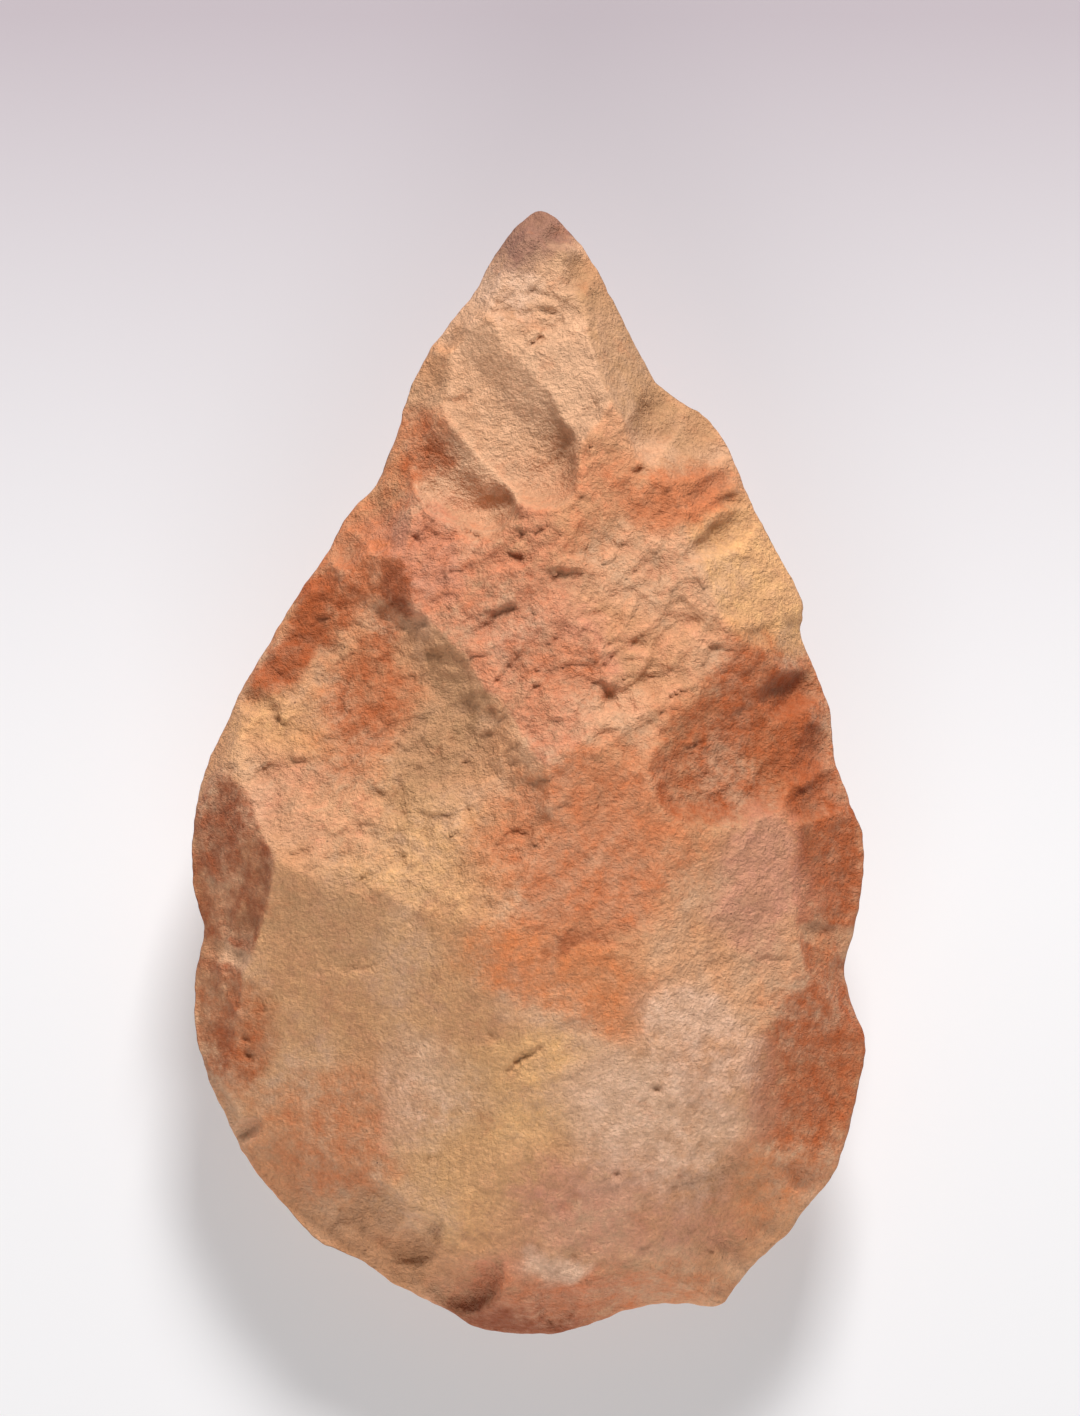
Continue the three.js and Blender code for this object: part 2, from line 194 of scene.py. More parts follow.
FACE_STAINS = {
    "sand": [(3, 56, 9, 8, -50, 0.75), (-18, -12, 12, 5, -15, 0.5), (6, 6, 6, 3, 20, 0.6),
             # The sand patch at (-36, -3) is a painted highlight on the thin lit edge above the dark bulb.
             (-36, -3, 6, 2.5, -60, 0.7)],
    "ochre": [(-17, -10, 14, 8, -30, 0.6), (-33, 5, 8, 6, 45, 0.4), (-4, -38, 9, 6, 0, 0.8),
              (-6, -50, 11, 10, 30, 0.8), (29, 28, 10, 6, -60, 0.6), (-10, 24, 5, 3, 0, 0.3)],
    # The olive patch at (13, 57) is painted shade on the tip's right plane; the others are greenish
    # patina.
    "olive": [(-12, 6, 13, 5, 70, 0.65), (13, 57, 14, 4, -60, 0.8), (-27, -19, 10, 6, -10, 0.5),
              (1, 25, 6, 3, 20, 0.5), (18, 26, 4, 3, 0, 0.3)],
    "pink": [(-14, 28, 8, 7, -35, 0.9), (4, 16, 9, 6, -20, 0.65), (1, -69, 12, 6, 0, 0.6),
             (-27, -4, 10, 6, -30, 0.35), (6, -53, 7, 3, 10, 0.4)],
    "rust": [(3, 33, 15, 7, 20, 0.3), (20, 38, 8, 5, 10, 0.9), (-25, 27, 10, 6, 60, 0.75),
             (-22, 9, 6, 10, -10, 0.6), (8, -8, 15, 11, 20, 0.65), (38, -40, 8, 13, 0, 0.6),
             (22, 9, 6, 4, 0, 0.5), (-27, -48, 12, 8, 20, 0.55), (3, 14, 6, 4, -20, 0.5),
             (8, -70, 18, 5, 0, 0.5), (-16, 43, 5, 4, 60, 0.7)],
    "orange": [(2, -25, 11, 4, -10, 0.8), (10, -29, 8, 5, 0, 0.7), (31, -54, 10, 6, 40, 0.35),
               (33, 2, 5, 10, 0, 0.4)],
    # Deep rust patches: strong iron stain, and painted shade along the right and left edges, along the
    # left shoulder's edge, on the right scar and in the hollow at (-18.5, 22.5).
    "deep_rust": [(31, 8, 10, 8, -20, 0.8), (40, -9, 5, 14, 5, 0.8), (39, -38, 6, 13, -10, 0.7),
                  (-31, 19, 10, 3.5, 55, 0.9), (-21, 12, 4, 8, -10, 0.45), (-16, 42, 3.5, 3, 60, 0.5),
                  (36, 1, 5, 9, 0, 0.9), (-39, -36, 5, 7, 0, 0.65), (-18.5, 22.5, 3.2, 3.6, 30, 0.7)],
    # Red brown patches: darkest stain, and painted shade on the bulb at the left edge, in the hollow at
    # (-18.5, 22.5), along the left edge and under the butt.
    "red_brown": [(-41, -7, 4.5, 6, 0, 0.7), (-18.5, 22.5, 2.6, 3.4, 30, 0.5),
                  (-43, -20, 2.5, 9, 0, 0.25), (5, -23, 3.5, 1.2, 25, 0.55), (-3, -73, 14, 2.5, 0, 0.8)],
    "lilac": [(31, -14, 6, 9, 10, 0.75), (12, -57, 16, 7, -10, 0.5), (24, -38, 4, 9, 20, 0.35)],
    "ash": [(-3, 66, 5, 5, 60, 0.6), (19, -44, 12, 10, 10, 0.6), (21, -33, 7, 4, -30, 0.7),
            (-13, -42, 6, 7, 0, 0.4), (4, -64.5, 5, 2, 10, 0.75)],
    "mauve": [(2, 73, 7, 4.5, 0, 0.9)],
}
BACK_SCAR_STAINS = {
    "rust": {"left": 0.5, "upper right": 0.3, "low right": 0.4},
    "ochre": {"upper left": 0.4, "butt left": 0.5, "right": 0.3},
    "deep_rust": {"right nick": 0.5, "low nick": 0.5},
    "sand": {"tip": 0.5, "butt": 0.4},
}
BACK_STAINS = {
    "ochre": [(-10, -30, 20, 16, 30, 0.6), (14, 20, 12, 18, -15, 0.5)],
    "rust": [(-22, 6, 12, 20, -10, 0.6), (26, -44, 14, 10, 20, 0.6)],
    "deep_rust": [(34, 2, 6, 18, 5, 0.6), (-36, -38, 6, 14, -10, 0.5)],
    "pink": [(4, 44, 10, 14, 0, 0.5), (6, -60, 18, 8, 0, 0.5)],
    "ash": [(8, -8, 12, 9, 35, 0.5)],
    "mauve": [(0, 72, 8, 6, 0, 0.6)],
}

# Finer forms of the worked face, in mm. The ground falls on one side of a step: on the left as its
# points are walked when the drop is positive, on the right when it is negative. The slope below the
# line is as long as the ramp, and the ground is back to its level at the width.
STEPS = [
    # points, drop, ramp, width
    ([(5.6, 27), (3, 27.7), (1, 27), (0, 25.6), (-1.5, 24.2), (-3.5, 22.6), (-5.6, 20.6)], 0.8, 0.6, 2.4),
    ([(10.5, 12), (9, 15.5), (7.4, 18.6), (5.2, 20.4), (2.6, 20.6), (0.4, 19), (-1.6, 16.4)], 1.1, 1.8, 6),
    ([(9.6, 12.4), (12.5, 11.8), (14.6, 13.2), (15.8, 15.6)], -0.9, 0.6, 3),
    ([(14.5, 24), (17, 22.6), (20, 23.6), (23.6, 21.2)], -0.8, 0.6, 2.6),
    ([(15.6, 19.4), (18, 21.6), (21.5, 21.2), (25, 19.6)], -0.7, 0.6, 3),
    ([(15.6, 15.2), (19, 14.6), (23, 16.6), (27, 19), (33, 20.6)], -0.9, 1.2, 4.5),
    ([(-15, 34.6), (-9, 34), (-3, 35), (0, 36.4), (3.4, 40), (6.6, 44)], 0.8, 0.4, 2),
    ([(-3, 33.2), (1.8, 36.8), (5.2, 41), (8.4, 44.8)], 0.5, 0.4, 1.4),
    ([(-24.2, -56.6), (-22.6, -54.4), (-19.6, -53.9), (-17.2, -56), (-15.4, -58.8), (-13.4, -61.6),
      (-11.2, -63.6)], -1.1, 0.9, 5),
    ([(-36, -31.4), (-31, -30), (-28.5, -27.2), (-26, -26), (-23, -25.6), (-19.5, -25.2), (-18.6, -22.5),
      (-18, -20.4), (-16.4, -19.6), (-14, -18.4)], 0.3, 0.5, 3),
    ([(8.4, 66), (8.7, 61), (9.4, 55), (11, 50), (13, 44.5)], 0.5, 0.6, 2.4),
]
CREASES = [
    # points, half width, depth, which is negative where the line stands proud
    ([(-5.2, 61.2), (-3, 61.8), (-1, 61.2), (1, 61.8), (3, 61.2), (4.6, 61.6)], 0.35, 0.45),
    ([(0, 64.6), (1.5, 63.6), (2.5, 63.8), (3.8, 62.8)], 0.35, 0.45),
    ([(1.2, 59.9), (2, 59.1), (3.2, 59.2), (3.9, 60)], 0.5, 0.6),
    ([(8.4, 64), (8.7, 61), (8.5, 58.5), (9, 56.5)], 0.4, 0.5),
    ([(-11.2, 49.4), (-10, 49.8), (-8.8, 49.8), (-8.2, 50.6)], 0.4, 0.6),
    ([(-17.5, 35), (-15, 36), (-13, 38)], 0.5, 0.5),
    ([(9, 3), (12, 6), (14, 7)], 0.7, -0.35),
    ([(16, 5), (18, 8)], 0.6, -0.35),
    ([(22, 3), (25, 0)], 0.6, -0.35),
    ([(-35.5, -10), (-37.5, -15), (-39.5, -20), (-40.8, -25), (-41.2, -28), (-38.5, -32)], 0.5, -0.4),
    ([(-42.5, -2), (-43.8, -6), (-43.3, -10), (-41.6, -14), (-41.2, -20), (-41.4, -27)], 0.45, -0.35),
    ([(-42.5, 0.4), (-41, 0.9), (-39.6, 0.6)], 0.4, 0.6),
    ([(-3.2, -38.9), (-1.6, -38)], 0.35, 0.5),
    ([(-1.9, -37.8), (-0.2, -37), (1.4, -35.9)], 0.35, 0.6),
    ([(-24.6, -25.8), (-23.4, -25.6), (-22.2, -25.7), (-20.6, -25.3)], 0.4, 0.5),
    ([(-18, -20.4), (-16.4, -19.6), (-15, -18.8)], 0.4, 0.35),
    ([(-5.2, -34.2), (-4.6, -35)], 0.4, 0.45),
    ([(-14, -51), (-12, -50.5)], 0.4, 0.4),
    ([(-36, -31.5), (-34.8, -31.2)], 0.4, 0.4),
    ([(-25, -60.4), (-20, -63.4), (-16, -66), (-13.4, -69.6)], 0.8, -0.45),
]
MOUNDS = [
    # x, y, half length, half width, angle, height, which is negative in a hollow
    (13.9, 17.3, 1.9, 1.1, 20, -0.8), (16, 26.8, 2, 1.5, 60, -0.8), (11.2, 10.3, 2.2, 1.4, 30, -0.6),
    (-36, -45, 4.5, 3, 50, -0.5), (16, 46, 1.6, 1.2, 30, 0.5),
    (20, 48, 1.5, 1.2, 0, 0.45), (18.2, 44.6, 1.4, 1, 20, -0.5), (14.4, 49.4, 1.2, 1.8, 30, -0.4),
    (3, -68, 9, 5, 0, 0.8), (32, -61, 2, 1, -40, -0.5),
]
PITS = [
    # x, y, radius, depth
    (16.8, -41.5, 0.6, 0.9), (11.5, -52.5, 0.5, 0.8), (-37.8, -35.2, 0.5, 0.8), (-37.5, -37.4, 0.6, 0.9),
    (-33.2, 12.9, 0.6, 0.8), (-34.2, 8.6, 0.6, 0.8), (24, -63.5, 0.4, 0.6), (21, -43.2, 0.4, 0.5),
    (-8.6, 1.6, 0.4, 0.5), (2.6, -73, 0.4, 0.6), (4.6, -68.4, 0.5, 0.7), (8, -67.6, 0.5, 0.6),
    (11.5, -66.6, 0.5, 0.6), (-23, -43, 0.4, 0.4), (-18, -49, 0.4, 0.4), (-5, -46.8, 0.4, 0.4),
]


# ---- Noise and curves ----

def follow(stations, y):
    """A smooth curve through stations of (y, value)."""
    at, value = np.array(stations, float).T
    slope = np.empty_like(value)
    slope[1:-1] = (value[2:] - value[:-2]) / (at[2:] - at[:-2])
    slope[0] = (value[1] - value[0]) / (at[1] - at[0])
    slope[-1] = (value[-1] - value[-2]) / (at[-1] - at[-2])
    i = np.clip(np.searchsorted(at, y, side="right") - 1, 0, len(at) - 2)
    span = at[i + 1] - at[i]
    t = np.clip((y - at[i]) / span, 0, 1)
    ease = t * t * (3 - 2 * t)
    leave = t * (1 - t) ** 2 * span * slope[i]
    arrive = t * t * (t - 1) * span * slope[i + 1]
    return value[i] + (value[i + 1] - value[i]) * ease + leave + arrive


def turned(x, y, centre, angle, half):
    """Places in the frame of an ellipse at that angle, where its half length and width are 1."""
    turn = math.radians(angle)
    dx, dy = x - centre[0], y - centre[1]
    return ((dx * math.cos(turn) + dy * math.sin(turn)) / half[0],
            (dy * math.cos(turn) - dx * math.sin(turn)) / half[1])


def lattice(seed, i, j, count):
    """A fixed random index for each cell of a lattice."""
    mixed = (i * 374761393 + j * 668265263 + seed * 974634777) & 0x7FFFFFFF
    mixed = ((mixed ^ (mixed >> 13)) * 1274126177) & 0x7FFFFFFF
    return (mixed ^ (mixed >> 16)) % count


def swell(x, y, size, seed):
    """Smooth noise from about -1 to 1, with hills of that size in mm."""
    u, v = x / size, y / size
    i, j = np.floor(u).astype(np.int64), np.floor(v).astype(np.int64)
    fu, fv = u - i, v - j
    eu, ev = (t * t * t * (t * (t * 6 - 15) + 10) for t in (fu, fv))
    corner = {}
    for a in (0, 1):
        for b in (0, 1):
            turn = lattice(seed, i + a, j + b, 4096) * (math.tau / 4096)
            corner[a, b] = np.cos(turn) * (fu - a) + np.sin(turn) * (fv - b)
    low = corner[0, 0] + (corner[1, 0] - corner[0, 0]) * eu
    high = corner[0, 1] + (corner[1, 1] - corner[0, 1]) * eu
    return 1.5 * (low + (high - low) * ev)


def cloud(x, y, size, seed, octaves=3):
    """Layers of smooth noise, each half the size and height of the last."""
    return sum(swell(x, y, size / 2 ** k, seed + k) / 2 ** k for k in range(octaves))


def chips(x, y, size, stretch, along, seed):
    """Little tilted facets with broken steps between them, from about -1 to 1."""
    u, v = turned(x, y, (0, 0), along, (size * stretch, size))
    i, j = np.floor(u).astype(np.int64), np.floor(v).astype(np.int64)
    near, plane = [], []
    for a in (-1, 0, 1):
        for b in (-1, 0, 1):
            dice = [lattice(seed + k, i + a, j + b, 1000) / 999.0 for k in range(5)]
            du, dv = u - i - a - dice[0], v - j - b - dice[1]
            plane.append(dice[2] * 2 - 1 + (dice[3] * 3 - 1.5) * du + (dice[4] * 3 - 1.5) * dv)
            near.append(du * du + dv * dv)
    near = np.array(near)
    weight = np.exp(-CHIP_CRISPNESS * (near - near.min(0)))
    return (weight * np.array(plane)).sum(0) / weight.sum(0)


def line_distance(x, y, points):
    """Distance to an open line of points, and which side: positive on its left."""
    best = np.full_like(x, 1e9)
    side = np.zeros_like(x)
    for (ax, ay), (bx, by) in zip(points[:-1], points[1:]):
        dx, dy = bx - ax, by - ay
        t = np.clip(((x - ax) * dx + (y - ay) * dy) / (dx * dx + dy * dy), 0, 1)
        away = np.hypot(x - ax - t * dx, y - ay - t * dy)
        left = np.sign(dx * (y - ay) - dy * (x - ax))
        side = np.where(away < best, left, side)
        best = np.minimum(best, away)
    return best, side


# ---- The relief of the stone ----

def edge_curve():
    """The closed curve through the edge's points, densely, clockwise from the tip."""
    here = np.array(EDGE_POINTS, float)
    before, after, beyond = (np.roll(here, shift, 0) for shift in (1, -1, -2))
    gap = [np.linalg.norm(b - a, axis=1)[:, None] ** 0.5
           for a, b in ((before, here), (here, after), (after, beyond))]
    leave = ((here - before) / gap[0] - (after - before) / (gap[0] + gap[1])
             + (after - here) / gap[1]) * gap[1]
    arrive = ((after - here) / gap[1] - (beyond - here) / (gap[1] + gap[2])
              + (beyond - after) / gap[2]) * gap[1]
    t = np.linspace(0, 1, 40, endpoint=False)[:, None, None]
    curve = ((2 * t - 3) * t * t + 1) * here + ((t - 2) * t + 1) * t * leave
    curve = curve + (3 - 2 * t) * t * t * after + (t - 1) * t * t * arrive
    return curve.transpose(1, 0, 2).reshape(-1, 2)


def even_line(curve, step):
    """The same closed curve with points a step apart."""
    closed = np.vstack([curve, curve[:1]])
    run = np.concatenate([[0], np.cumsum(np.linalg.norm(np.diff(closed, axis=0), axis=1))])
    at = np.linspace(0, run[-1], int(run[-1] / step), endpoint=False)
    return np.column_stack([np.interp(at, run, closed[:, k]) for k in (0, 1)])


def outward(line):
    """Unit vectors out of a closed clockwise line."""
    along = np.roll(line, -1, 0) - np.roll(line, 1, 0)
    along /= np.linalg.norm(along, axis=1)[:, None]
    return np.column_stack([-along[:, 1], along[:, 0]])


def edge_line(settings):
    """The edge, evenly spaced and a little ragged."""
    line = even_line(edge_curve(), settings.edge_step)
    x, y = line.T
    ragged = 0.16 * swell(x, y, 3.1, 11) + 0.1 * swell(x, y, 1.4, 12)
    return line + outward(line) * ragged[:, None]


def sway(x, y):
    """The edge isn't quite level: both faces swing up and down together as it goes round."""
    turn = np.arctan2(x, y)
    share = np.minimum(np.hypot(x, y) / SWAY_RADIUS, 1) ** 2
    wave = np.sin(3 * turn + 0.6) + 0.65 * np.sin(7 * turn + 1.9) + 0.35 * np.sin(13 * turn)
    return SWAY * share * wave


def soft_min(low, high, wear):
    """The lower of two heights with the ridge between them rounded, and the share of the second."""
    share = np.clip(0.5 + 0.5 * (low - high) / wear, 0, 1)
    return low * (1 - share) + high * share - wear * share * (1 - share), share


def bowl(x, y, scar):
    """The height of one scar's bowl, everywhere."""
    u, v = turned(x, y, scar["at"], scar["along"], scar["half"])
    down, _ = turned(x, y, scar["at"], scar["falls"], (1, 1))
    tilt = math.tan(math.radians(scar["by"])) * down
    height = scar["floor"] - tilt + scar["rise"] * (u * u + v * v) ** scar["sharp"]
    for foot_x, foot_y, faces, steep in scar["walls"]:
        facing = math.radians(faces)
        behind = (foot_x - x) * math.cos(facing) + (foot_y - y) * math.sin(facing)
        height = height + math.tan(math.radians(steep)) * (behind + np.hypot(behind, WALL_FOOT)) / 2
    return height


def lens(x, y):
    """Height over the edge before any flake is off."""
    across = np.minimum(np.abs(x - LENS_MIDDLE) / follow(HALF_WIDTH, y), 1)
    return np.maximum(follow(CREST, y) * (1 - across ** LENS_POWER), EDGE_LIP)


def flaked(x, y, scars):
    """Height over the edge, grain, and each scar's share of one face after its flakes are off."""
    height, grain, shares = lens(x, y), np.full_like(x, BASE_GRAIN), {}
    for name, scar in scars.items():
        height, share = soft_min(height, bowl(x, y, scar), scar["wear"])
        grain = grain + (scar["grain"] - grain) * share
        for older in shares:
            shares[older] = shares[older] * (1 - share)
        shares[name] = share
    return height, grain, shares


def retouch(line, seed):
    """Small scars along the edge, for the face and for the back: one in each bay, and finer ones."""
    out = outward(line)
    step = np.linalg.norm(line[1] - line[0])
    reach = int(BAY_REACH / step)
    kernel = np.hanning(2 * reach + 1)
    kernel /= kernel.sum()
    ring = np.vstack([line[-reach:], line, line[:reach]])
    smooth = np.column_stack([np.convolve(ring[:, k], kernel, "valid") for k in (0, 1)])
    bulge = ((line - smooth) * out).sum(1)
    window = int(BAY_WINDOW / step)
    lowest = np.min([np.roll(bulge, k) for k in range(-window, window + 1)], axis=0)
    bays = [i for i in np.flatnonzero(bulge == lowest) if bulge[i] < -BAY_DEPTH]
    dice = np.random.default_rng(seed)
    spots = [(i, dice.uniform(2.4, 4.5), dice.uniform(2.2, 4)) for i in bays]
    spots += [(int(dice.integers(len(line))), dice.uniform(1.4, 3.4), dice.uniform(0.8, 1.7))
              for _ in range(NICKS)]
    scars = ({}, {})
    for number, (i, length, width) in enumerate(spots):
        by = dice.uniform(28, 38)
        inset = 0.45 * length
        at = line[i] - inset * out[i]
        turn = math.degrees(math.atan2(out[i][1], out[i][0])) + dice.uniform(-25, 25)
        floor = EDGE_LIP - 0.1 + inset * math.tan(math.radians(by)) * dice.uniform(1.01, 1.15)
        from_back = number < len(bays) or dice.random() < 0.5
        scars[from_back][f"nick {number}"] = flake(
            at, turn, (length, width), floor, turn, by, rise=0.3, sharp=1.2, wear=0.3, grain=0.3)
    return scars


def marks(x, y, height):
    """The finer forms of the worked face, added to its height."""
    for points, drop, ramp, width in STEPS:
        away, side = line_distance(x, y, points)
        below = 1 - np.exp(-np.maximum(away * side * np.sign(drop), 0) / ramp)
        lip = 0.2 * np.exp(-((away / 0.8) ** 2))
        height = height + abs(drop) * (lip - below * np.exp(-((away / width) ** 2)))
    for points, half_width, depth in CREASES:
        away, _ = line_distance(x, y, points)
        height = height - depth * np.exp(-((away / half_width) ** 2))
    for px, py, half_length, half_width, angle, rise in MOUNDS:
        u, v = turned(x, y, (px, py), angle, (half_length, half_width))
        height = height + rise * np.exp(-(u * u + v * v))
    for px, py, radius, depth in PITS:
        height = height - depth * np.exp(-(((x - px) ** 2 + (y - py) ** 2) / radius ** 2))
    return height


def face_relief(x, y, inset, scars, settings, seed, worked):
    """One face at points that lie inset from the edge: height over it, grain and scars' shares."""
    _, grain, _ = flaked(x, y, scars)
    wander = settings.ridge_wander * (0.25 + grain)
    wx = x + wander * (swell(x, y, 5.2, seed) + 0.5 * swell(x, y, 1.9, seed + 1))
    wy = y + wander * (swell(x, y, 4.8, seed + 2) + 0.5 * swell(x, y, 2.1, seed + 3))
    height, grain, shares = flaked(wx, wy, scars)
    broken = 0.36 * chips(wx, wy, 4.2, 1.9, 28, seed + 4) + 0.38 * chips(wx, wy, 1.8, 1.8, 48, seed + 10)
    broken = broken + 0.1 * cloud(x, y, 2.2, seed + 16)
    rolling = 0.16 * cloud(x, y, 11, seed + 20, 2) + 0.07 * cloud(x, y, 2.4, seed + 24, 3)
    fade = np.clip(inset / RIM_FADE, 0, 1)
    height = height + fade * settings.roughness * (grain * broken + rolling)
    if worked:
        ragged_x, ragged_y = (v + 0.3 * swell(x, y, 1.7, seed + k) for v, k in ((x, 30), (y, 31)))
        height = marks(ragged_x, ragged_y, height)
    rim = EDGE_LIP + inset * math.tan(math.radians(EDGE_SLOPE))
    height, _ = soft_min(height, rim, RIM_WEAR)
    return np.maximum(height, THINNEST), grain, shares


def patina(x, y, shares, scar_stains, stains, seed):
    """How much each stain covers the points: whole scars first, then patches with ragged borders."""
    wx = x + STAIN_STRAY * cloud(x, y, STAIN_SIZE, seed, 4)
    wy = y + STAIN_STRAY * cloud(x, y, STAIN_SIZE, seed + 8, 4)
    cover = {}
    for colour, scars in scar_stains.items():
        cover[colour] = sum(strength * shares[scar] for scar, strength in scars.items())
    for colour, patches in stains.items():
        for px, py, half_length, half_width, angle, strength in patches:
            u, v = turned(wx, wy, (px, py), angle, (half_length, half_width))
            t = np.clip((1 + STAIN_EDGE - np.hypot(u, v)) / (2 * STAIN_EDGE), 0, 1)
            patch = strength * t * t * (3 - 2 * t)
            cover[colour] = np.maximum(cover.get(colour, 0), patch)
    return cover


# ---- The stone's mesh ----

def face_points(line, spacing):
    """Points of a triangular lattice inside the edge."""
    low, high = line.min(0), line.max(0)
    rows = np.arange(low[1], high[1], spacing * 0.866)
    columns = np.arange(low[0], high[0], spacing)
    x, y = np.meshgrid(columns, rows)
    x[1::2] += spacing / 2
    x, y = x.ravel(), y.ravel()
    inside = np.zeros(len(x), bool)
    for (ax, ay), (bx, by) in zip(line, np.roll(line, -1, 0)):
        crosses = (ay > y) != (by > y)
        inside[crosses] ^= x[crosses] < ax + (y[crosses] - ay) * (bx - ax) / (by - ay)
    return np.column_stack([x[inside], y[inside]])


def edge_insets(points, line):
    """How far each point lies from the nearest point of the line."""
    tree = KDTree(len(line))
    for i, (x, y) in enumerate(line):
        tree.insert((x, y, 0), i)
    tree.balance()
    return np.array([tree.find((x, y, 0))[2] for x, y in points])


def triangulate(line, points):
    """Joins the edge and the inner points. Returns all points, triangles and the edge's indices."""
    everything = np.vstack([line, points])
    count = len(line)
    rim = [(i, (i + 1) % count) for i in range(count)]
    corners = [Vector(point) for point in everything.tolist()]
    found = delaunay_2d_cdt(corners, rim, [list(range(count))], 1, 1e-6)
    place, faces = np.array([tuple(v) for v in found[0]]), np.array(found[2])
    index = {source: i for i, sources in enumerate(found[3]) for source in sources}
    a, b, c = (place[faces[:, k]] for k in range(3))
    turned = (b[:, 0] - a[:, 0]) * (c[:, 1] - a[:, 1]) - (b[:, 1] - a[:, 1]) * (c[:, 0] - a[:, 0])
    faces[turned < 0] = faces[turned < 0][:, ::-1]
    return place, faces, np.array([index[i] for i in range(count)])


def face_part(settings, seam, side, nicks):
    """One face's vertices, triangles and rim, and what the finish needs to know at every vertex."""
    worked = side > 0
    flakes, scar_stains, stains, spacing, seed = (
        (FACE_FLAKES, FACE_SCAR_STAINS, FACE_STAINS, settings.face_step, settings.seed + 40) if worked
        else (BACK_FLAKES, BACK_SCAR_STAINS, BACK_STAINS, settings.back_step, settings.seed + 80))
    dense = even_line(seam, SEAM_STEP)
    points = face_points(seam, spacing)
    points = points[edge_insets(points, dense) > 0.45 * spacing]
    place, faces, rim = triangulate(seam, points)
    insets = edge_insets(place, dense)
    x, y = place.T
    height, grain, shares = face_relief(x, y, insets, flakes | nicks, settings, seed, worked)
    cover = {name: np.zeros_like(x) for name in STAIN_ORDER}
    cover |= patina(x, y, shares, scar_stains, stains, seed + 30)
    cover["grain"] = grain
    vertices = np.column_stack([x, y, EDGE_LEVEL + side * height + sway(x, y)])
    return vertices, faces if worked else faces[:, ::-1], rim, cover


def stone_arrays(settings):
    """Both faces, joined by a ring of vertices at the edge."""
    line = edge_line(settings)
    seam = line - SEAM_INSET * outward(line)
    face_nicks, back_nicks = retouch(line, settings.seed)
    top, top_faces, top_rim, top_cover = face_part(settings, seam, 1, face_nicks)
    low, low_faces, low_rim, low_cover = face_part(settings, seam, -1, back_nicks)
    x, y = line.T
    middle = np.column_stack([x, y, EDGE_LEVEL + sway(x, y)])
    ring = len(top) + len(low) + np.arange(len(line))
    faces = [top_faces, low_faces + len(top)]
    for a, b in ((top_rim, ring), (ring, low_rim + len(top))):
        next_a, next_b = np.roll(a, -1), np.roll(b, -1)
        faces += [np.column_stack([a, next_a, b]), np.column_stack([next_a, next_b, b])]
    cover = {name: np.concatenate([values, low_cover[name], values[top_rim]])
             for name, values in top_cover.items()}
    return np.vstack([top, low, middle]), np.vstack(faces), cover


def neighbour_mean(values, edges, count, rounds):
    """Values averaged with those of the joined vertices, over and over."""
    degree = np.bincount(edges.ravel(), minlength=count)
    for _ in range(rounds):
        total = np.bincount(edges[:, 0], values[edges[:, 1]], count)
        total += np.bincount(edges[:, 1], values[edges[:, 0]], count)
        values = total / degree
    return values


def add_attribute(mesh, name, values):
    mesh.attributes.new(name, "FLOAT", "POINT").data.foreach_set("value", values.astype(np.float32))


def stone_mesh(settings):
    """The stone's mesh, with its stains and its relief as attributes."""
    vertices, faces, cover = stone_arrays(settings)
    vertices[:, 2] = np.maximum(vertices[:, 2], 0)
    mesh = bpy.data.meshes.new("hand_axe_stone")
    mesh.vertices.add(len(vertices))
    mesh.vertices.foreach_set("co", (vertices * MM).ravel())
    mesh.loops.add(faces.size)
    mesh.loops.foreach_set("vertex_index", faces.ravel().astype(np.int32))
    mesh.polygons.add(len(faces))
    mesh.polygons.foreach_set("loop_start", np.arange(0, faces.size, 3, dtype=np.int32))
    mesh.update(calc_edges=True)
    mesh.validate()
    edges = np.empty(len(mesh.edges) * 2, np.int32)
    mesh.edges.foreach_get("vertices", edges)
    edges = edges.reshape(-1, 2)
    normals = np.empty(len(vertices) * 3, np.float32)
    mesh.vertex_normals.foreach_get("vector", normals)
    normals = normals.reshape(-1, 3)
    # How proud each vertex stands over its smoothed neighbours. The finish uses this for painted shade in
    # hollows and painted highlight on ridges.
    for name, rounds, scale in (("fine_relief", 4, 0.06), ("broad_relief", 60, 0.5)):
        smooth = np.column_stack([neighbour_mean(column, edges, len(vertices), rounds)
                                  for column in vertices.T])
        proud = ((vertices - smooth) * normals).sum(1)
        add_attribute(mesh, name, np.clip(0.5 + 0.5 * proud / scale, 0, 1))
    for name, values in cover.items():
        add_attribute(mesh, name, values)
    mesh.shade_smooth()
    return mesh


# ---- Node trees ----

class Value:
    """A number's socket in a node tree. Arithmetic on it adds Math nodes."""

    def __init__(self, board, socket):
        self.board, self.socket = board, socket

    def math(self, operation, first, second):
        return self.board.add("ShaderNodeMath", {"operation": operation}, {0: first, 1: second})

    def other(self, output):
        """Another output of the same node."""
        return Value(self.board, self.socket.node.outputs[output])

    def __add__(self, other): return self.math("ADD", self, other)
    def __radd__(self, other): return self.math("ADD", other, self)
    def __sub__(self, other): return self.math("SUBTRACT", self, other)
    def __rsub__(self, other): return self.math("SUBTRACT", other, self)
    def __mul__(self, other): return self.math("MULTIPLY", self, other)
    def __rmul__(self, other): return self.math("MULTIPLY", other, self)
    def __truediv__(self, other): return self.math("DIVIDE", self, other)
    def __rtruediv__(self, other): return self.math("DIVIDE", other, self)
    def __pow__(self, other): return self.math("POWER", self, other)


